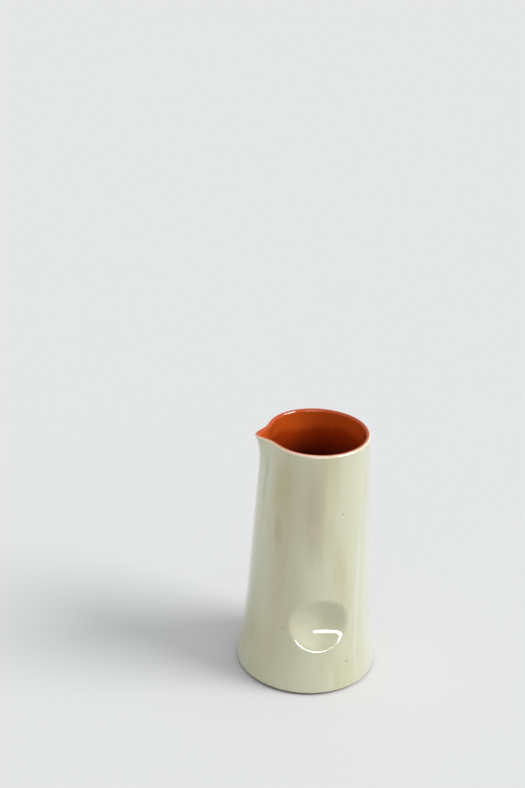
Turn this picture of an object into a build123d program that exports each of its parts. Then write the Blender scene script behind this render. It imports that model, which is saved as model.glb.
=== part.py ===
"""A handleless earthenware pitcher: a tapered clay wall with a pulled spout and a pressed thumb
dimple, luted to a round clay floor. A pale glaze coats the outside, an amber one lines the
inside, and a thin glaze band caps the lip.

Frame: millimetres, +Z up, origin on the table under the axis of the body. The spout points
along -X and the thumb dimple faces -Y.
"""

from build123d import *

import os
from math import cos, exp, hypot, pi, radians, sin

# Body, measured on the outside of the glaze
height = 210.0
lip_radius = 42.65
cone_foot_radius = 54.3  # where the straight cone would meet the table
flare_depth = 3.4  # extra radius of the flared foot
flare_height = 27.0
foot_round = 3.8

# Clay and glaze thickness
glaze = 0.45
lip_wall = 3.0
body_wall = 4.9
wall_growth = 30.0  # depth below the lip over which the wall thickens
floor_top = 7.0
floor_recess = 1.2  # how far the underside of the floor stands off the table
inner_round = 6.0  # cove between wall and floor

# Spout, a beak between two flattened flanks
spout_reach = 0.225  # share of the radius
spout_half_angle = radians(13.4)
spout_fade = 17.9  # depth below the lip
flank_press = 0.075
flank_half_angle = radians(45)
flank_fade = 34.0

# Thumb dimple, pressed by a round-faced tool
dimple_height = 63.0
dimple_depth = 10.5
dimple_upright_radius = 28.5
dimple_level_radius = 54.0
dimple_edge_round = 7.0

# Edges and joints
lip_line = 208.0  # above this the glaze band caps the lip
lip_round = 1.6
bare_foot = 2.2  # unglazed height above the table
joint_radius = 44.0  # where the floor disc is luted into the wall
joint_chamfer = 0.6

# Loft sections
section_points = 48
section_crowding = 0.55  # draws section points towards the spout
section_heights = [8, 16, 26, 38, 60, 90, 120, 140, 158, 172, 183, 192, 199, 204, 207.5]
tangent_step = 1e-4  # radians
lip_sections = 4  # steps of the loft round the quarter circle of the lip
overshoot = 1.0  # how far a cutter runs past the face it opens


def body_radius(z):
    """Radius of the body without its spout: a cone with a flared foot."""
    cone = lip_radius + (cone_foot_radius - lip_radius) * (height - z) / height
    return cone + flare_depth * exp(-((z / flare_height) ** 2))


def plan_point(angle, z):
    """A point on the outside of the glaze, at an angle from the spout."""
    depth = height - z
    turn = (angle + pi) % (2 * pi) - pi
    beak = spout_reach * exp(-depth / spout_fade) * exp(-((turn / spout_half_angle) ** 2))
    flank = flank_press * exp(-((depth / flank_fade) ** 2)) * exp(-((turn / flank_half_angle) ** 2))
    radius = body_radius(z) * (1 + beak - flank)
    return -radius * cos(turn), -radius * sin(turn)


def inset_point(angle, z, inset):
    """The plan point moved inwards, square to the section's outline."""
    x, y = plan_point(angle, z)
    x_before, y_before = plan_point(angle - tangent_step, z)
    x_after, y_after = plan_point(angle + tangent_step, z)
    along_x = x_after - x_before
    along_y = y_after - y_before
    length = hypot(along_x, along_y)
    return Vector(x - inset * along_y / length, y + inset * along_x / length)


def section_edge(z, inset):
    """One closed level section. All sections share their knots, which keeps the loft light."""
    turns = [-pi + 2 * pi * k / section_points for k in range(section_points)]
    angles = [turn - section_crowding * sin(turn) for turn in turns]
    return Edge.make_spline(
        [inset_point(angle, z, inset) for angle in angles],
        periodic=True,
        parameters=[k / section_points for k in range(section_points + 1)],
    )


def stack(levels, insets):
    """A loft through level sections of the body, each moved in by its own inset."""
    edges = [section_edge(z, inset) for z, inset in zip(levels, insets)]
    with BuildPart() as solid:
        for z, edge in zip(levels, edges):
            with BuildSketch(Plane.XY.offset(z)):
                with BuildLine():
                    add(edge)
                make_face()
        loft()
    return solid.part


def thumb_press(growth):
    """The pressing tool, grown outwards: round both ways, with a wider curve around the body."""
    upright = dimple_upright_radius + growth
    level = dimple_level_radius + growth
    axis_y = dimple_depth - body_radius(dimple_height) - dimple_level_radius
    half_height = (upright**2 - (level - upright) ** 2) ** 0.5
    with BuildPart() as tool:
        with BuildSketch(Plane(origin=(0, axis_y, dimple_height), x_dir=(1, 0, 0), z_dir=(0, -1, 0))):
            with BuildLine():
                ThreePointArc((0, -half_height), (level, 0), (0, half_height))
                Line((0, half_height), (0, -half_height))
            make_face()
        revolve(axis=Axis((0, axis_y, 0), (0, 0, 1)))
    return tool.part


def pressed_body(inset, growth, bottom, top, bottom_round):
    """The body below the lip, with its bottom edge rounded and the thumb dimple pressed in."""
    levels = [bottom, *(z for z in section_heights if bottom < z < top), top]
    body = stack(levels, [inset(z) for z in levels])
    tool = thumb_press(growth)
    with BuildPart() as solid:
        add(body)
        fillet(solid.edges().group_by(Axis.Z)[0], bottom_round)
        add(tool, mode=Mode.SUBTRACT)
        dimple = solid.faces().sort_by_distance((0, -body_radius(dimple_height), dimple_height))[0]
        fillet(dimple.edges(), dimple_edge_round - growth)
    return solid.part


def lip_ring(outside, inside, top, edge_round):
    """The top of the wall above the lip line, a ring whose two upper edges are quarter circles."""
    turns = [pi / 2 * k / lip_sections for k in range(lip_sections + 1)]
    levels = [lip_line, *(top - edge_round * (1 - sin(turn)) for turn in turns)]
    retreats = [0, *(edge_round * (1 - cos(turn)) for turn in turns)]
    block = stack(levels, [outside(z) + retreat for z, retreat in zip(levels, retreats)])
    hole = stack(levels, [inside(z) - retreat for z, retreat in zip(levels, retreats)])
    with BuildPart() as ring:
        add(block)
        add(hole, mode=Mode.SUBTRACT)
    return ring.part


def glaze_outside(z):
    """Inset of the glazed outside, which is the outline itself."""
    return 0.0


def clay_outside(z):
    """Inset of the bare clay outside."""
    return glaze


def clay_inside(z):
    """Inset of the bare clay inside: a thin lip that thickens a little way down."""
    growth = 1 - exp(-(((height - z) / wall_growth) ** 2))
    return glaze + lip_wall + (body_wall - lip_wall) * growth


def glaze_inside(z):
    """Inset of the glazed inside."""
    return clay_inside(z) + glaze


def finish(part, name):
    """Labels a piece and writes it to its own STEP file."""
    part.label = name
    export_step(part, f"parts/{name}.step")


os.makedirs("parts", exist_ok=True)

# Nested forms, from the outside of the glaze to its inside
clay_depth = glaze + body_wall
hollow_top = lip_line + overshoot
glazed_form = pressed_body(glaze_outside, 0, 0, lip_line, foot_round)
clay_form = pressed_body(clay_outside, glaze, 0, lip_line, foot_round - glaze)
clay_hollow = pressed_body(clay_inside, clay_depth, floor_top, hollow_top, inner_round + glaze)
glazed_hollow = pressed_body(
    glaze_inside, clay_depth + glaze, floor_top + glaze, hollow_top, inner_round
)

# The glaze band over the lip
clay_lip = lip_ring(clay_outside, clay_inside, height - glaze, lip_round - glaze)
glazed_lip = lip_ring(glaze_outside, glaze_inside, height, lip_round)
with BuildPart() as lip_glaze:
    add(glazed_lip)
    add(clay_lip, mode=Mode.SUBTRACT)
finish(lip_glaze.part, "lip_glaze")

# The glaze below the lip, one coat on either side of the wall
with BuildPart() as outer_glaze:
    add(glazed_form)
    add(clay_form, mode=Mode.SUBTRACT)
    split(bisect_by=Plane.XY.offset(bare_foot), keep=Keep.TOP)
finish(outer_glaze.part, "outer_glaze")

with BuildPart() as inner_glaze:
    add(clay_hollow)
    add(glazed_hollow, mode=Mode.SUBTRACT)
    split(bisect_by=Plane.XY.offset(lip_line), keep=Keep.BOTTOM)
finish(inner_glaze.part, "inner_glaze")

# Clay: the floor disc stands clear of the table and is luted into the wall
with BuildPart() as clay_floor:
    with Locations((0, 0, floor_recess)):
        Cylinder(
            joint_radius,
            floor_top - floor_recess,
            align=(Align.CENTER, Align.CENTER, Align.MIN),
        )
    chamfer(clay_floor.edges().group_by(Axis.Z)[0], joint_chamfer)
finish(clay_floor.part, "clay_floor")

with BuildPart() as clay_wall:
    add(clay_form)
    add(clay_hollow, mode=Mode.SUBTRACT)
    add(clay_lip)
    Cylinder(
        joint_radius,
        floor_top + overshoot,
        align=(Align.CENTER, Align.CENTER, Align.MIN),
        mode=Mode.SUBTRACT,
    )
    foot_ring = clay_wall.faces().sort_by(Axis.Z)[0]
    chamfer(foot_ring.edges().sort_by(SortBy.LENGTH)[0], joint_chamfer)
finish(clay_wall.part, "clay_wall")
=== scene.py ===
# %% [markdown]
# # A handleless pitcher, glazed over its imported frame
#
# The real pitcher is one fired clay body that was thrown round, pulled out into a spout and
# pressed in with a thumb. A pale grey-green glaze covers the outside, a glossy amber one lines
# the inside, and the two meet in a thin peach line over the lip. Below a wavering edge near the
# table the clay stays bare.
#
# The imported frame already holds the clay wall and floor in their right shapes, so they stay and
# only get a clay finish. The three glaze coats are made again here as numpy surfaces, because a
# real coat is never as even as a drafted one: it ripples over the throwing marks, creeps at the
# foot and thins over the lip.

import bpy
import numpy as np
from mathutils import Matrix, Vector


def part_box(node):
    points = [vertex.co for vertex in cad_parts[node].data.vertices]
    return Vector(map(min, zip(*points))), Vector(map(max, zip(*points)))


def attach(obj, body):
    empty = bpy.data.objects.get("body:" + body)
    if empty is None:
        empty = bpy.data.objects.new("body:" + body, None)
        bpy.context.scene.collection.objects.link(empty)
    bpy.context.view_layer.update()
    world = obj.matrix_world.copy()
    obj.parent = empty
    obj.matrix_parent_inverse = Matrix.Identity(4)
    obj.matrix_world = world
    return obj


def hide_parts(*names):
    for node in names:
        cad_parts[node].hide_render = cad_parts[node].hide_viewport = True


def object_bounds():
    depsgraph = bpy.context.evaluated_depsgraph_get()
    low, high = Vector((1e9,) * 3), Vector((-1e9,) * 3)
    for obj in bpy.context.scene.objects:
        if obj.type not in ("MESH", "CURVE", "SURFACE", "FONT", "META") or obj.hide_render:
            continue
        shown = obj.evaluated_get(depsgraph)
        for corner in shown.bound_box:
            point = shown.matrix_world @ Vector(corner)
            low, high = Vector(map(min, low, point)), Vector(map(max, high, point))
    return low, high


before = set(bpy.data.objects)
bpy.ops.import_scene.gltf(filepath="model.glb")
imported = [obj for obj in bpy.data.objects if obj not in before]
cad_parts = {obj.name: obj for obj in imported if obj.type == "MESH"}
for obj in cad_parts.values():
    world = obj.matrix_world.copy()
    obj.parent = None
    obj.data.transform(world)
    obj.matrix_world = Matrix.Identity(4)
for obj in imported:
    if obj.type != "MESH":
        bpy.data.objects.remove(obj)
cad_low, cad_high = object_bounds()
print("frame box", tuple(cad_low), tuple(cad_high))

# %% [markdown]
# ## Where the glaze starts and stops
#
# The heights come from the frame: the pitcher's full height, the level line where the lip band
# takes over from the two coats, the foot line that the outer coat creeps a little below, and the
# top of the clay floor. The clay is lower than the whole pitcher by the thickness of one coat.

# %% Heights and thicknesses
HEIGHT = cad_high.z
LIP_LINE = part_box("lip_glaze")[0].z
FOOT_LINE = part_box("outer_glaze")[0].z
FLOOR_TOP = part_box("inner_glaze")[0].z
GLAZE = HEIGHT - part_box("clay_wall")[1].z
print("height", HEIGHT, "lip line", LIP_LINE, "foot line", FOOT_LINE, "glaze", GLAZE)

# %% [markdown]
# ## The outline of the body
#
# A potter reads this shape as a cone that flares near the table. The spout is a narrow beak
# that grows out of the last few centimetres, with the wall on both sides of it pressed flatter.
# Each is one smooth term, so the outline can be worked out for whole arrays of angles and
# heights at once. Angle 0 is the spout, which points along -X, and the thumb dimple is a
# quarter turn from it, facing -Y.

# %% Outline of the glazed outside
LIP_RADIUS = 0.04265
CONE_FOOT_RADIUS = 0.0543
FLARE_DEPTH = 0.0034
FLARE_HEIGHT = 0.027
SPOUT_REACH = 0.225
SPOUT_HALF_ANGLE = np.radians(13.4)
SPOUT_FADE = 0.0179
FLANK_PRESS = 0.075
FLANK_HALF_ANGLE = np.radians(45)
FLANK_FADE = 0.034


def body_radius(z):
    """Cone from foot to lip, plus a flare that fades with the square of the height."""
    cone = LIP_RADIUS + (CONE_FOOT_RADIUS - LIP_RADIUS) * (HEIGHT - z) / HEIGHT
    return cone + FLARE_DEPTH * np.exp(-((z / FLARE_HEIGHT) ** 2))


def outline_radius(angle, z):
    """Body radius times one plus a bell-shaped beak minus a wider bell for the flanks."""
    depth = HEIGHT - z
    turn = (angle + np.pi) % (2 * np.pi) - np.pi
    beak = SPOUT_REACH * np.exp(-depth / SPOUT_FADE) * np.exp(-((turn / SPOUT_HALF_ANGLE) ** 2))
    flank = FLANK_PRESS * np.exp(-((depth / FLANK_FADE) ** 2))
    flank = flank * np.exp(-((turn / FLANK_HALF_ANGLE) ** 2))
    return body_radius(z) * (1 + beak - flank)


print("spout tip at x", -outline_radius(0.0, HEIGHT), "back at x", outline_radius(np.pi, HEIGHT))

# %% [markdown]
# ## The wall at any depth
#
# Every surface of the pitcher is the same outline moved inwards by some depth: nothing for the
# outside of the glaze, the coat's thickness for the clay, the clay's thickness more for the
# inside. Moving square to the outline, not straight to the axis, keeps the wall even round the
# spout. The thumb dimple is where a round tool reaches further in than the wall, and a smooth
# minimum of the two radii leaves the soft edge that wet clay has.

# %% Wall surfaces with the thumb dimple pressed in
DIMPLE_HEIGHT = 0.063
DIMPLE_DEPTH = 0.0105
DIMPLE_UPRIGHT_RADIUS = 0.0285
DIMPLE_LEVEL_RADIUS = 0.054
DIMPLE_SOFTNESS = 0.0028
TOOL_AXIS = body_radius(DIMPLE_HEIGHT) - DIMPLE_DEPTH + DIMPLE_LEVEL_RADIUS
FAR_OFF = 1.0  # stands in where the tool doesn't reach
TURN_STEP = 1e-4  # radians from a point to its neighbours on the outline


def tool_radius(x, y, z, depth):
    """Distance from the body's axis, towards each point, at which the grown tool starts.

    The tool is an arc turned about an upright line: at each height it is a circle, and the
    distance along a ray to that circle is c cos t - sqrt(r^2 - c^2 sin^2 t).
    """
    grown = DIMPLE_UPRIGHT_RADIUS + depth
    rise = grown**2 - (z - DIMPLE_HEIGHT) ** 2
    circle = DIMPLE_LEVEL_RADIUS - DIMPLE_UPRIGHT_RADIUS + np.sqrt(np.maximum(rise, 0))
    reach = np.hypot(x, y)
    inside = circle**2 - (TOOL_AXIS * x / reach) ** 2
    near = -TOOL_AXIS * y / reach - np.sqrt(np.maximum(inside, 0))
    return np.where((rise > 0) & (inside > 0) & (y < 0), near, FAR_OFF)


def smooth_min(a, b, width):
    """The lesser of two values, rounded off where they come within a width of each other."""
    mix = np.clip(0.5 + 0.5 * (b - a) / width, 0, 1)
    return b + (a - b) * mix - width * mix * (1 - mix)


def wall_point(angle, z, depth):
    """Points of the wall at a depth: the outline, moved inwards, then met with the tool."""
    radius = outline_radius(angle, z)
    angle_before, angle_after = angle - TURN_STEP, angle + TURN_STEP
    before, after = outline_radius(angle_before, z), outline_radius(angle_after, z)
    along_x = before * np.cos(angle_before) - after * np.cos(angle_after)
    along_y = before * np.sin(angle_before) - after * np.sin(angle_after)
    length = np.hypot(along_x, along_y)
    x = -radius * np.cos(angle) - depth * along_y / length
    y = -radius * np.sin(angle) + depth * along_x / length
    reach = np.hypot(x, y)
    pressed = smooth_min(reach, tool_radius(x, y, z, depth), DIMPLE_SOFTNESS)
    return x * pressed / reach, y * pressed / reach


centre = wall_point(np.array([np.pi / 2]), np.array([DIMPLE_HEIGHT]), 0.0)
print("deepest point of the dimple at y", centre[1][0])

# %% [markdown]
# ## From arrays to a mesh
#
# Each coat is a closed shell, so its surface is a grid: one direction runs round the body, the
# other up one face of the coat, over its edge and down the other face. The columns always join
# up. The rows join up too on a ring, and on the liner they end in a single point at the middle
# of the floor on either side. Columns crowd towards the spout, where the outline bends most.

# %% Weaving a grid into a closed shell
SMOOTH_LIMIT = np.radians(50)
CROWDING = 0.5


def angles_round(count):
    """Angles of the columns: even turns, each pulled towards the spout by half its sine."""
    turns = -np.pi + 2 * np.pi * np.arange(count) / count
    return turns - CROWDING * np.sin(turns)


def woven_shell(name, x, y, z, poles=None):
    """A mesh object from row by column arrays. Rows wrap round unless two pole points close it."""
    rows, columns = x.shape
    index = np.arange(rows * columns).reshape(rows, columns)
    beside = np.roll(index, -1, axis=1)
    last = rows if poles is None else rows - 1
    above, beside_above = np.roll(index, -1, axis=0)[:last], np.roll(beside, -1, axis=0)[:last]
    quads = np.stack([index[:last], beside[:last], beside_above, above], axis=-1)
    faces = quads.reshape(-1, 4).tolist()
    points = np.stack([x, y, z], axis=-1).reshape(-1, 3)
    if poles is not None:
        first = np.full(columns, rows * columns)
        faces += np.stack([first, beside[0], index[0]], axis=-1).tolist()
        faces += np.stack([index[-1], beside[-1], first + 1], axis=-1).tolist()
        points = np.vstack([points, poles])
    mesh = bpy.data.meshes.new(name)
    mesh.from_pydata(points.tolist(), [], faces)
    mesh.shade_smooth()
    mesh.set_sharp_from_angle(angle=SMOOTH_LIMIT)
    piece = bpy.data.objects.new(name, mesh)
    bpy.context.scene.collection.objects.link(piece)
    print(name, len(mesh.vertices), "points", len(mesh.polygons), "faces")
    return piece


def mark(piece, name, values):
    """Writes one number per point into a named attribute that a material can read."""
    layer = piece.data.attributes.new(name, "FLOAT", "POINT")
    layer.data.foreach_set("value", np.ravel(values).astype(np.float32))


# %% [markdown]
# ## The unevenness of a hand-made wall
#
# Fingers leave faint rings that climb the wall as a spiral, and glaze pools a little unevenly
# over them. Both are sums of a few sine waves whose whole-number turns round the body make them
# close on themselves. They only ever push inwards, so the coat keeps to its drafted size.

# %% Ripples of the thrown wall
RING_SPACING = 0.0065
RING_DEPTH = 0.00004
PUDDLE_DEPTH = 0.00009
PUDDLE_WAVES = [
    # turns round the body, radians climbed in a metre, start
    (3, 41, 0.0),
    (5, -67, 1.3),
    (2, 95, 2.1),
]


def waves(angle, z, rows):
    """Sum over the rows of sin(turns times angle, plus climb times height, plus start)."""
    return sum(np.sin(turns * angle + climb * z + start) for turns, climb, start in rows)


def ripple(angle, z):
    """Inward depth: a spiral sine for the rings plus a few slow waves for pooled glaze."""
    rings = np.sin(2 * np.pi * z / RING_SPACING + angle)
    puddles = len(PUDDLE_WAVES) + waves(angle, z, PUDDLE_WAVES)
    return RING_DEPTH * (1 + rings) / 2 + PUDDLE_DEPTH * puddles / (2 * len(PUDDLE_WAVES))


print("deepest ripple", RING_DEPTH + PUDDLE_DEPTH)

# %% [markdown]
# ## The outer coat
#
# On the real pitcher the outside was dipped or poured, and its lower edge was wiped back before
# firing, so it stops a little above the table in a wavering line with a small rolled bead. The
# mesh goes up the outside from that line, over the top edge at the lip line, and down the clay.
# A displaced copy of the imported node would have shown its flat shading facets, so the coat is
# woven afresh from the outline.

# %% Outer glaze
FOOT_ROUND = 0.0038
EDGE_LEVEL = 0.66  # the edge's mean height and its ups and downs are shares of the foot line
EDGE_TILT = 0.22
EDGE_TILT_ANGLE = 0.5
EDGE_WAVER = 0.035
EDGE_WAVES = [(4, 0, 0.6), (7, 0, 2.0), (11, 0, 0.0)]
BEAD_EDGE = 0.0005
BEAD_RISE = 0.00010
BEAD_WIDTH = 0.0006
OUTER_COLUMNS = 320
OUTER_ROWS = 210
BACKING_ROWS = 72  # rows up the unseen side of a coat, where it lies on the clay
FOOT_CROWDING = 1.15  # a power over 1 draws the rows down towards the foot


def foot_rounding(z, radius):
    """How far a quarter circle at the foot draws the outline in: r - sqrt(r^2 - (r - z)^2)."""
    short = np.clip(radius - z, 0, radius)
    return radius - np.sqrt(radius**2 - short**2)


def foot_edge(angle):
    """Height at which the outer coat stops: lowest away from the spout, with a slight waver."""
    tilt = EDGE_TILT * np.cos(angle - EDGE_TILT_ANGLE)
    return FOOT_LINE * (EDGE_LEVEL + tilt + EDGE_WAVER * waves(angle, 0.0, EDGE_WAVES))


def outer_depth(angle, z):
    """Ripples, the rounded foot, and a rolled bead where the coat ends above the table."""
    above = z - foot_edge(angle)
    roll = 1 - np.sqrt(np.clip(1 - np.clip(1 - above / BEAD_EDGE, 0, 1) ** 2, 0, 1))
    bead = BEAD_RISE * np.exp(-(((above - BEAD_EDGE) / BEAD_WIDTH) ** 2))
    return foot_rounding(z, FOOT_ROUND) + ripple(angle, z) + GLAZE * roll - bead


columns = angles_round(OUTER_COLUMNS)
front_share = np.linspace(0, 1, OUTER_ROWS) ** FOOT_CROWDING
back_share = np.linspace(1, 0, BACKING_ROWS)
share = np.concatenate([front_share, back_share])[:, None]
angle = np.broadcast_to(columns, (len(share), OUTER_COLUMNS))
z = foot_edge(angle) + (LIP_LINE - foot_edge(angle)) * share
backing = np.arange(len(share))[:, None] >= OUTER_ROWS
depth = np.where(backing, GLAZE + foot_rounding(z, FOOT_ROUND), outer_depth(angle, z))
x, y = wall_point(angle, z, depth)
outer_coat = woven_shell("outer_coat", x, y, z)
mark(outer_coat, "above_foot", z - foot_edge(angle))
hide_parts("outer_glaze")
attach(outer_coat, "root")

# %% [markdown]
# ## The liner
#
# The inside was filled with a clear amber glaze and emptied again, so it covers everything: the
# wall, the cove, and the floor with the spiral that the potter's finger left. It can be seen
# through the mouth only, but from above it is most of what shows. The clay is thin at the lip
# and reaches its full thickness three centimetres down, and the dimple pushes in as a bulge.

# %% Inner glaze
LIP_WALL = 0.003
BODY_WALL = 0.0049
WALL_GROWTH = 0.030
COVE = 0.006
LINER_COLUMNS = 256
LINER_ROWS = 170
LINER_CROWDING = 1.25
FLOOR_ROWS = 40
CLAY_FLOOR_ROWS = 4  # on the side that lies on the clay floor
SPIRAL_SPACING = 0.008
SPIRAL_DEPTH = 0.0003
SPIRAL_FADE = 0.001  # the spiral dies out this far up the cove


def clay_inside(z):
    """Depth of the bare inside: the coat, the thin lip, and growth with the depth below it."""
    growth = 1 - np.exp(-(((HEIGHT - z) / WALL_GROWTH) ** 2))
    return GLAZE + LIP_WALL + (BODY_WALL - LIP_WALL) * growth


def liner_rows(columns, floor, coat, rows, floor_rows):
    """Rows from the middle of the floor out to the cove and up to the lip line."""
    share = np.linspace(0, 1, rows)[:, None]
    angle = np.broadcast_to(columns, (rows, len(columns)))
    z = floor + (LIP_LINE - floor) * share**LINER_CROWDING + 0 * angle
    radius = COVE + GLAZE - coat
    depth = clay_inside(z) + coat + foot_rounding(z - floor, radius)
    x, y = wall_point(angle, z, depth)
    out = (np.arange(1, floor_rows) / floor_rows)[:, None]
    x, y = np.vstack([x[0] * out, x]), np.vstack([y[0] * out, y])
    return x, y, np.vstack([floor + 0 * (out * z[0]), z])


columns = angles_round(LINER_COLUMNS)
clay_side = liner_rows(columns, FLOOR_TOP, 0.0, BACKING_ROWS, CLAY_FLOOR_ROWS)
glaze_side = liner_rows(columns, FLOOR_TOP + GLAZE, GLAZE, LINER_ROWS, FLOOR_ROWS)
x, y, z = (np.vstack([a, b[::-1]]) for a, b in zip(clay_side, glaze_side))
glazed = np.arange(len(z))[:, None] >= len(clay_side[0])
on_floor = glazed * np.exp(-(((z - FLOOR_TOP - GLAZE) / SPIRAL_FADE) ** 2))
reach = np.hypot(x, y)
wound = 2 * np.pi * reach / SPIRAL_SPACING - np.arctan2(y, x)
spiral = np.sin(wound) * np.clip(reach / SPIRAL_SPACING, 0, 1)
z = z + on_floor * SPIRAL_DEPTH * (1 + spiral) / 2
poles = [(0, 0, FLOOR_TOP), (0, 0, FLOOR_TOP + GLAZE + SPIRAL_DEPTH / 2)]
liner = woven_shell("liner", x, y, z, poles)
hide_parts("inner_glaze")
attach(liner, "root")

# %% [markdown]
# ## The lip band
#
# Glaze runs off a sharp edge, so over the lip it is thin and pale, with the clay's warmth showing
# through; the palest part of the crest is also partly a painted highlight. The band is a half
# ellipse carried round the outline: the outer one is the surface of the glaze, the inner one the
# clay it caps. How far a point has gone over the lip is kept as an attribute, because the colour
# has to run from the outer coat's to the liner's.

# %% Lip glaze
LIP_COLUMNS = 400
LIP_ROWS = 33
LIP_WAVER = 0.00012
LIP_WAVES = [(3, 0, 1.0), (8, 0, 0.0)]


def lip_rows(columns, coat, rows, top):
    """Half ellipse over the lip: depth (1 - cos t) w / 2, height h sin t, for t from 0 to pi."""
    turn = np.linspace(0, np.pi, rows)[:, None]
    angle = np.broadcast_to(columns, (rows, len(columns)))
    lowered = len(LIP_WAVES) + waves(columns, 0.0, LIP_WAVES)
    waver = LIP_WAVER * lowered / (2 * len(LIP_WAVES))
    z = LIP_LINE + (top - LIP_LINE - waver) * np.sin(turn)
    width = clay_inside(z) - GLAZE + 2 * coat
    x, y = wall_point(angle, z, GLAZE - coat + width * (1 - np.cos(turn)) / 2)
    return x, y, z, turn / np.pi + 0 * angle


columns = angles_round(LIP_COLUMNS)
shown = lip_rows(columns, GLAZE, LIP_ROWS, HEIGHT)
capped = lip_rows(columns, 0.0, LIP_ROWS, HEIGHT - GLAZE)
x, y, z, across = (np.vstack([a, b[::-1]]) for a, b in zip(shown, capped))
lip_band = woven_shell("lip_band", x, y, z)
mark(lip_band, "across", across)
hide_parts("lip_glaze")
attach(lip_band, "root")

# %% [markdown]
# ## Finishes
#
# Every finish is worked out from a point's place on the object, so nothing slides when the view
# changes. The helpers below add a node with its sockets set or wired, blend two colours, and
# turn a soft-edged range of values into a share from 0 to 1. Both glazes are glass over a
# coloured ground, so they share one clear coat, which bends light more than window glass does.

# %% Node helpers
MIX_SHARE, MIX_FIRST, MIX_SECOND, MIX_RESULT = 0, 6, 7, 2  # a Mix node's sockets for colours
GLAZE_IOR = 1.7
COAT_ROUGHNESS = 0.03


def new_finish(name):
    """A material, its node tree and its shader."""
    material = bpy.data.materials.new(name)
    material.use_nodes = True
    return material, material.node_tree, material.node_tree.nodes["Principled BSDF"]


def put(tree, kind, sockets, **settings):
    """Adds a node, applies its settings, and sets or wires each named or numbered socket."""
    node = tree.nodes.new(kind)
    for name, value in settings.items():
        setattr(node, name, value)
    for name, value in sockets.items():
        if isinstance(value, bpy.types.NodeSocket):
            tree.links.new(value, node.inputs[name])
        else:
            node.inputs[name].default_value = value
    return node


def place(tree, scale):
    """Object coordinates, stretched by a scale on each axis."""
    where = put(tree, "ShaderNodeTexCoord", {}).outputs["Object"]
    return put(tree, "ShaderNodeMapping", {"Vector": where, "Scale": scale}).outputs[0]


def noise(tree, scale, detail=2.0):
    """Cloudy noise whose lumps are about one over the scale in size, in metres."""
    sockets = {"Vector": place(tree, scale), "Scale": 1.0, "Detail": detail}
    return put(tree, "ShaderNodeTexNoise", sockets).outputs["Fac"]


def share_of(tree, value, low, high, start=0.0, end=1.0):
    """A smooth step of a value from start to end between two limits."""
    sockets = {"Value": value, "From Min": low, "From Max": high, "To Min": start, "To Max": end}
    node = put(tree, "ShaderNodeMapRange", sockets, interpolation_type="SMOOTHSTEP")
    return node.outputs["Result"]


def blend(tree, share, first, second, kind="MIX"):
    """Two colours mixed by a share."""
    sockets = {MIX_SHARE: share, MIX_FIRST: first, MIX_SECOND: second}
    node = put(tree, "ShaderNodeMix", sockets, data_type="RGBA", blend_type=kind)
    return node.outputs[MIX_RESULT]


def reckon(tree, first, second, operation="MULTIPLY"):
    """The product of two numbers, or what another operation makes of them."""
    return put(tree, "ShaderNodeMath", {0: first, 1: second}, operation=operation).outputs[0]


def paint(colour):
    """A colour given as it looks on a screen, 0 to 255, made linear by the sRGB curve."""
    share = np.array(colour) / 255
    linear = np.where(share <= 0.04045, share / 12.92, ((share + 0.055) / 1.055) ** 2.4)
    return (*linear.tolist(), 1.0)


def gloss(shader, roughness):
    """Glassy clear coat over a ground of the given roughness."""
    shader.inputs["Roughness"].default_value = roughness
    shader.inputs["Coat Weight"].default_value = 1.0
    shader.inputs["Coat IOR"].default_value = GLAZE_IOR
    shader.inputs["Coat Roughness"].default_value = COAT_ROUGHNESS


def relief(tree, shader, height, distance):
    """Wires a height field into the shader's normal; the distance is its full height."""
    bump = put(tree, "ShaderNodeBump", {"Height": height, "Distance": distance, "Strength": 1.0})
    tree.links.new(bump.outputs["Normal"], shader.inputs["Normal"])


def dress(piece, material):
    """Gives a piece this one material."""
    piece.data.materials.clear()
    piece.data.materials.append(material)
    print(piece.name, "wears", material.name)


# %% [markdown]
# ## Celadon glaze
#
# The outside is a glossy grey-green that is really several glazes in one: where it lies thick
# it turns yellow-olive and where it lies thin the red clay warms it. Three colours are painted
# light instead: a milky pale for the lit right flank, a whiter one for a highlight streak on it
# and a grey for a dark reflection beside the spout. Each of those is a colour of its own here,
# given as it looks under white light.

# %% Outside colours
CELADON = paint((201, 202, 172))
OLIVE = paint((184, 176, 130))
STRAW = paint((216, 209, 166))
BEIGE = paint((193, 187, 154))
BLUSH = paint((196, 182, 158))
WHEAT = paint((182, 175, 146))
# painted highlight: a near white for an upright highlight streak on the right flank
HIGHLIGHT_STREAK_WHITE = paint((224, 226, 214))
# painted light: a milky pale that brightens the lit right flank
LIT_FLANK_PALE = paint((208, 211, 196))
DRIP = paint((168, 160, 118))
# painted reflection: a grey for a dark line in the flank beside the spout
DARK_REFLECTION_GREY = paint((146, 148, 128))
IRON = paint((92, 66, 46))
print("celadon in linear light", CELADON[:3])
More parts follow.
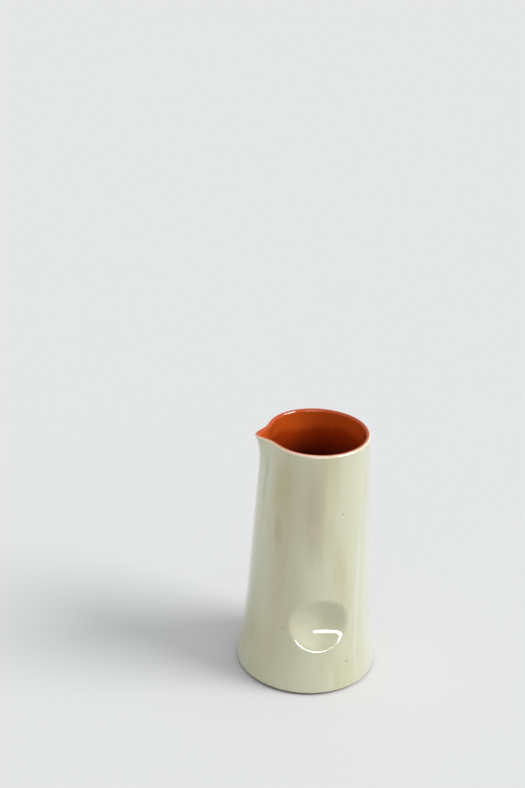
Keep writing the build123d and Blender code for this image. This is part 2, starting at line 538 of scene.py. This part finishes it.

# %% [markdown]
# ## Runs, pools, specks and painted light
#
# A glaze runs where gravity and the dipping took it, and noise alone could not put a run just
# under the spout. So the larger runs and pools are soft ellipsoids that reach into the wall,
# each with its own place, size and colour. Three of the ellipsoids are painted light instead: a
# pale wash of painted light over the right flank, a narrow painted highlight streak on it, and a
# dark painted reflection in the pressed flank beside the spout. The iron specks that burnt
# through from the clay are tiny ones.

# %% Places of the runs, specks and painted light
RUNS_AND_PAINTED_LIGHT = [
    # middle, half-widths and colour of each run or pool, and how strongly it shows
    ((-0.030, -0.034, 0.178), (0.013, 0.030, 0.045), OLIVE, 0.8),
    ((-0.033, -0.032, 0.140), (0.0045, 0.012, 0.022), DRIP, 0.8),
    ((-0.035, -0.023, 0.200), (0.007, 0.010, 0.009), BLUSH, 0.6),
    ((-0.020, -0.042, 0.165), (0.009, 0.030, 0.050), BEIGE, 0.8),
    ((-0.008, -0.045, 0.162), (0.012, 0.030, 0.058), WHEAT, 0.9),
    ((-0.006, -0.046, 0.145), (0.009, 0.020, 0.012), BLUSH, 0.7),
    ((0.005, -0.043, 0.180), (0.006, 0.030, 0.045), STRAW, 0.35),
    ((-0.030, -0.042, 0.085), (0.024, 0.034, 0.110), BEIGE, 0.7),
    ((-0.044, -0.032, 0.030), (0.020, 0.030, 0.050), OLIVE, 0.5),
    ((0.000, -0.046, 0.176), (0.017, 0.030, 0.055), OLIVE, 0.15),
    # painted light: a pale wash over the lit right flank
    ((0.050, -0.020, 0.100), (0.034, 0.040, 0.190), LIT_FLANK_PALE, 0.7),
    # painted highlight: a narrow upright streak on the right flank
    ((0.0315, -0.0380, 0.080), (0.0028, 0.014, 0.110), HIGHLIGHT_STREAK_WHITE, 0.25),
    # painted reflection: a dark line in the pressed flank beside the spout
    ((-0.0415, -0.0140, 0.178), (0.006, 0.0035, 0.034), DARK_REFLECTION_GREY, 0.35),
]
SPECKS = [
    (0.0157, -0.0426, 0.1588),
    (-0.0275, -0.0316, 0.2066),
    (0.0243, -0.0485, 0.0250),
    (-0.0284, -0.0426, 0.0566),
]
SPECK_SIZE = (0.0009, 0.0009, 0.0014)
SPECK_STRENGTH = 0.6
SPOT_HEART = 0.25  # share of a spot's half-width that shows in full


def spot(tree, middle, size):
    """A share that is 1 in an ellipsoid's heart and fades to 0 at its edge."""
    scale = 1 / np.array(size)
    where = put(tree, "ShaderNodeTexCoord", {}).outputs["Object"]
    sockets = {"Vector": where, "Scale": scale.tolist(), "Location": (-scale * middle).tolist()}
    centred = put(tree, "ShaderNodeMapping", sockets).outputs[0]
    away = put(tree, "ShaderNodeVectorMath", {0: centred}, operation="LENGTH").outputs["Value"]
    return share_of(tree, away, SPOT_HEART, 1.0, 1.0, 0.0)


print(len(RUNS_AND_PAINTED_LIGHT), "runs and pools", len(SPECKS), "specks")

# %% [markdown]
# ## The outside, layer over layer
#
# The colours are laid over each other as a painter would do it: broad streaks first, drawn out
# upright by a noise that is stretched along Z, then the runs and pools with the painted light of
# the right flank and beside the spout, a fine grain, the specks and a scatter of small ones that
# only a few cells of a cell pattern get. Where the coat ends at the foot it is thin and brown. The
# surface has long, low waves that break up reflections.

# %% Outside finish
STREAK_SCALE = (46, 46, 8)
WARMTH_SCALE = (30, 30, 10)
GRAIN_SCALE = (1400, 1400, 900)
SCATTER_SCALE = (160, 160, 160)
THIN_EDGE_FROM = 0.0002
THIN_EDGE_TO = 0.0011
CELADON_ROUGHNESS = 0.14
WAVE_SCALE = (70, 70, 30)
WAVE_HEIGHT = 0.0006

celadon, tree, shader = new_finish("celadon_glaze")
streaks = share_of(tree, noise(tree, STREAK_SCALE, 3.0), 0.50, 0.72, 0.0, 0.7)
warmth = share_of(tree, noise(tree, WARMTH_SCALE), 0.50, 0.74, 0.0, 0.5)
colour = blend(tree, streaks, CELADON, OLIVE)
colour = blend(tree, warmth, colour, BEIGE)
for middle, size, tint, strength in RUNS_AND_PAINTED_LIGHT:
    colour = blend(tree, reckon(tree, spot(tree, middle, size), strength), colour, tint)

grain = share_of(tree, noise(tree, GRAIN_SCALE, 3.0), 0.3, 0.7, 0.0, 0.06)
colour = blend(tree, grain, colour, IRON, "MULTIPLY")
for middle in SPECKS:
    speck = reckon(tree, spot(tree, middle, SPECK_SIZE), SPECK_STRENGTH)
    colour = blend(tree, speck, colour, IRON)

cells = put(tree, "ShaderNodeTexVoronoi", {"Vector": place(tree, SCATTER_SCALE), "Scale": 1.0})
lot = put(tree, "ShaderNodeSeparateColor", {"Color": cells.outputs["Color"]}).outputs[0]
near_heart = share_of(tree, cells.outputs["Distance"], 0.03, 0.08, SPECK_STRENGTH, 0.0)
scatter = reckon(tree, near_heart, share_of(tree, lot, 0.94, 0.98))
colour = blend(tree, scatter, colour, IRON)

above = put(tree, "ShaderNodeAttribute", {}, attribute_name="above_foot").outputs["Fac"]
thin_edge = share_of(tree, above, THIN_EDGE_FROM, THIN_EDGE_TO, 0.8, 0.0)
colour = blend(tree, thin_edge, colour, IRON)
tree.links.new(colour, shader.inputs["Base Color"])
gloss(shader, CELADON_ROUGHNESS)
relief(tree, shader, noise(tree, WAVE_SCALE, 3.0), WAVE_HEIGHT)
dress(outer_coat, celadon)

# %% [markdown]
# ## Amber liner
#
# Inside, a clear iron glaze lies over red clay. Where it is thin, near the lip, it is a bright
# orange; a few centimetres down it is painted a nearly black maroon, which is painted shade of
# the deep inside, and towards the floor it warms to a reddish brown. It is as glossy as the
# outside.

# %% Inside finish
BRIGHT_AMBER = paint((214, 92, 30))
AMBER = paint((184, 64, 16))
# painted shade: the liner goes nearly black a few centimetres below the lip
SHADE_AMBER = paint((36, 12, 10))
DEEP_AMBER = paint((128, 50, 26))
THIN_FROM = HEIGHT - 0.010
SHADE_FROM = HEIGHT - 0.045
SHADE_TO = HEIGHT - 0.002
DEEP_FROM = HEIGHT - 0.130
DEEP_TO = HEIGHT - 0.070
DRIFT_SCALE = (40, 40, 14)
DRIFT = 0.02  # how far the noise lifts a height before its colour is read
AMBER_ROUGHNESS = 0.12
LINER_WAVE_SCALE = (110, 110, 60)
LINER_WAVE_HEIGHT = 0.0004

amber, tree, shader = new_finish("amber_glaze")
where = put(tree, "ShaderNodeTexCoord", {}).outputs["Object"]
level = put(tree, "ShaderNodeSeparateXYZ", {"Vector": where}).outputs["Z"]
drift = reckon(tree, noise(tree, DRIFT_SCALE, 3.0), DRIFT)
level = reckon(tree, level, drift, "ADD")
# painted shade: darker below the lip, where the deep inside lies in shade
colour = blend(tree, share_of(tree, level, SHADE_FROM, SHADE_TO), SHADE_AMBER, AMBER)
colour = blend(tree, share_of(tree, level, DEEP_FROM, DEEP_TO), DEEP_AMBER, colour)
colour = blend(tree, share_of(tree, level, THIN_FROM, LIP_LINE, 0.0, 0.9), colour, BRIGHT_AMBER)
tree.links.new(colour, shader.inputs["Base Color"])
gloss(shader, AMBER_ROUGHNESS)
relief(tree, shader, noise(tree, LINER_WAVE_SCALE), LINER_WAVE_HEIGHT)
dress(liner, amber)

# %% [markdown]
# ## Lip band
#
# One colour ramp runs over the lip, along the attribute that says how far over it a point is:
# grey-green outside, a pale peach on the crest that is partly thin glaze and partly a painted
# highlight, orange on the inner edge. A little noise is added to the attribute, so that the
# colours don't meet in ruled lines. The glaze is thin here, so it has no clear coat of its own.

# %% Lip finish
LIP_STOPS = [
    # share of the way over the lip, colour there
    (0.0, CELADON),
    (0.10, paint((216, 207, 180))),
    # partly painted highlight: the palest stop, on the crest, is also thin glaze
    (0.23, paint((240, 222, 202))),
    (0.37, paint((226, 174, 142))),
    (0.49, paint((182, 80, 38))),
    (0.75, paint((186, 68, 20))),
    (1.0, BRIGHT_AMBER),
]
BLUR = 0.16
BLUR_SCALE = (90, 90, 90)
LIP_ROUGHNESS = 0.08
LIP_WAVE_SCALE = (300, 300, 300)
LIP_WAVE_HEIGHT = 0.0002

peach, tree, shader = new_finish("lip_glaze")
over = put(tree, "ShaderNodeAttribute", {}, attribute_name="across").outputs["Fac"]
shifted = reckon(tree, noise(tree, BLUR_SCALE), BLUR)
over = reckon(tree, reckon(tree, over, shifted, "ADD"), BLUR / 2, "SUBTRACT")
ramp = put(tree, "ShaderNodeValToRGB", {"Fac": over})
stops = ramp.color_ramp.elements
while len(stops) < len(LIP_STOPS):
    stops.new(0.5)
for stop, (position, value) in zip(stops, LIP_STOPS):
    stop.position = position
    stop.color = value
tree.links.new(ramp.outputs["Color"], shader.inputs["Base Color"])
shader.inputs["Roughness"].default_value = LIP_ROUGHNESS
relief(tree, shader, noise(tree, LIP_WAVE_SCALE), LIP_WAVE_HEIGHT)
dress(lip_band, peach)

# %% [markdown]
# ## Bare clay
#
# The foot and the underside were never glazed. Fired red clay is matt and dark where it has
# been handled, with fine sand in it.

# %% Clay finish
CLAY = paint((128, 76, 50))
BURNT_CLAY = paint((78, 46, 33))
SAND = paint((172, 130, 98))
BURN_SCALE = (70, 70, 70)
SAND_SCALE = (1800, 1800, 1800)
SAND_HEIGHT = 0.0003
CLAY_ROUGHNESS = 0.85

clay, tree, shader = new_finish("bare_clay")
burnt = share_of(tree, noise(tree, BURN_SCALE, 4.0), 0.35, 0.65)
colour = blend(tree, burnt, CLAY, BURNT_CLAY)
sand = noise(tree, SAND_SCALE)
colour = blend(tree, share_of(tree, sand, 0.62, 0.72, 0.0, 0.7), colour, SAND)
tree.links.new(colour, shader.inputs["Base Color"])
shader.inputs["Roughness"].default_value = CLAY_ROUGHNESS
relief(tree, shader, sand, SAND_HEIGHT)
for node in ("clay_wall", "clay_floor"):
    dress(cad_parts[node], clay)

# %% [markdown]
# ## The floor
#
# The pitcher stands on a plain pale floor, one large square that fills the camera's view. Only
# from low down does its far edge show. It is matt and mirrors nothing, or the bright cards that
# come next would show in it as burnt-out patches.

# %% Floor
FLOOR_HALF = 12.0
FLOOR_GREY = paint((219, 219, 219))
FLOOR_ROUGHNESS = 0.6

corners = np.array([(-1, -1, 0), (1, -1, 0), (1, 1, 0), (-1, 1, 0)]) * FLOOR_HALF
floor_mesh = bpy.data.meshes.new("floor")
floor_mesh.from_pydata(corners.tolist(), [], [(0, 1, 2, 3)])
floor = bpy.data.objects.new("floor", floor_mesh)
bpy.context.scene.collection.objects.link(floor)
pale, tree, shader = new_finish("pale_floor")
shader.inputs["Base Color"].default_value = FLOOR_GREY
shader.inputs["Roughness"].default_value = FLOOR_ROUGHNESS
shader.inputs["Specular IOR Level"].default_value = 0.0
dress(floor, pale)

# %% [markdown]
# ## The light
#
# A wide, even light from the right, like a big window far away, throws the soft shadow to the
# left and brightens the right flank. A sun lamp does that best, because it lights the whole
# floor alike, and its spread sets how soft the shadow is. Two bright cards are seen only in
# reflections: one low in front puts the glint into the lower half of the dimple, one beside the
# window puts small lights on the rim. The pale world fills the rest.

# %% Lights
SUN_AZIMUTH = np.radians(-20)
SUN_ELEVATION = np.radians(39)
SUN_SPREAD = np.radians(32)
SUN_STRENGTH = 2.2
CARDS = [
    # name, place, width, height, watts
    ("doorway", (-0.17, -2.50, 0.58), 1.8, 0.5, 36.0),
    ("window_pane", (1.87, -1.08, 1.40), 1.0, 1.0, 110.0),
]
SKY_COLOUR = (0.97, 0.985, 1.0, 1.0)
SKY_STRENGTH = 0.69


def shine(light, position, target):
    """Puts a lamp in the scene, turned so that it shines at a target."""
    lamp = bpy.data.objects.new(light.name, light)
    lamp.location = position
    lamp.rotation_euler = (target - position).to_track_quat("-Z", "Y").to_euler()
    bpy.context.scene.collection.objects.link(lamp)
    return lamp


middle_height = Vector((0, 0, HEIGHT / 2))
window = bpy.data.lights.new("window", "SUN")
window.energy = SUN_STRENGTH
window.angle = SUN_SPREAD
along_ground = Vector((np.cos(SUN_AZIMUTH), np.sin(SUN_AZIMUTH), np.tan(SUN_ELEVATION)))
shine(window, middle_height + along_ground, middle_height)

for name, position, width, height, watts in CARDS:
    card = bpy.data.lights.new(name, "AREA")
    card.shape = "RECTANGLE"
    card.size = width
    card.size_y = height
    card.energy = watts
    shine(card, Vector(position), middle_height).visible_diffuse = False

world = bpy.data.worlds.new("studio")
world.use_nodes = True
sky = world.node_tree.nodes["Background"]
sky.inputs["Color"].default_value = SKY_COLOUR
sky.inputs["Strength"].default_value = SKY_STRENGTH
bpy.context.scene.world = world
bpy.context.scene.view_settings.view_transform = "Standard"
print("lights: window,", ", ".join(row[0] for row in CARDS), "and the world")

# %% [markdown]
# ## The camera
#
# It stands a little over a metre away and looks down at the mouth, turned so that the spout is
# on the left and the dimple low on the right. It leans by two degrees, as a hand-held one does.

# %% Camera
CAMERA_PLACE = Vector((-0.2141, -1.0179, 0.7345))
CAMERA_AIM = Vector((0.14907, 0.89082, -0.4292)).normalized()
CAMERA_LEAN = np.radians(1.93)
SENSOR = 36.0  # width, in millimetres, as the focal length is
FOCAL = 68.07

right = CAMERA_AIM.cross(Vector((0, 0, 1))).normalized()
level_up = right.cross(CAMERA_AIM)
leaning_right = right * np.cos(CAMERA_LEAN) + level_up * np.sin(CAMERA_LEAN)
leaning_up = level_up * np.cos(CAMERA_LEAN) - right * np.sin(CAMERA_LEAN)
camera_data = bpy.data.cameras.new("camera")
camera_data.sensor_width = SENSOR
camera_data.lens = FOCAL
camera = bpy.data.objects.new("camera", camera_data)
turned = Matrix((leaning_right, leaning_up, -CAMERA_AIM)).transposed().to_4x4()
camera.matrix_world = Matrix.Translation(CAMERA_PLACE) @ turned
bpy.context.scene.collection.objects.link(camera)
bpy.context.scene.camera = camera
print("camera", tuple(CAMERA_PLACE), "focal length", FOCAL)
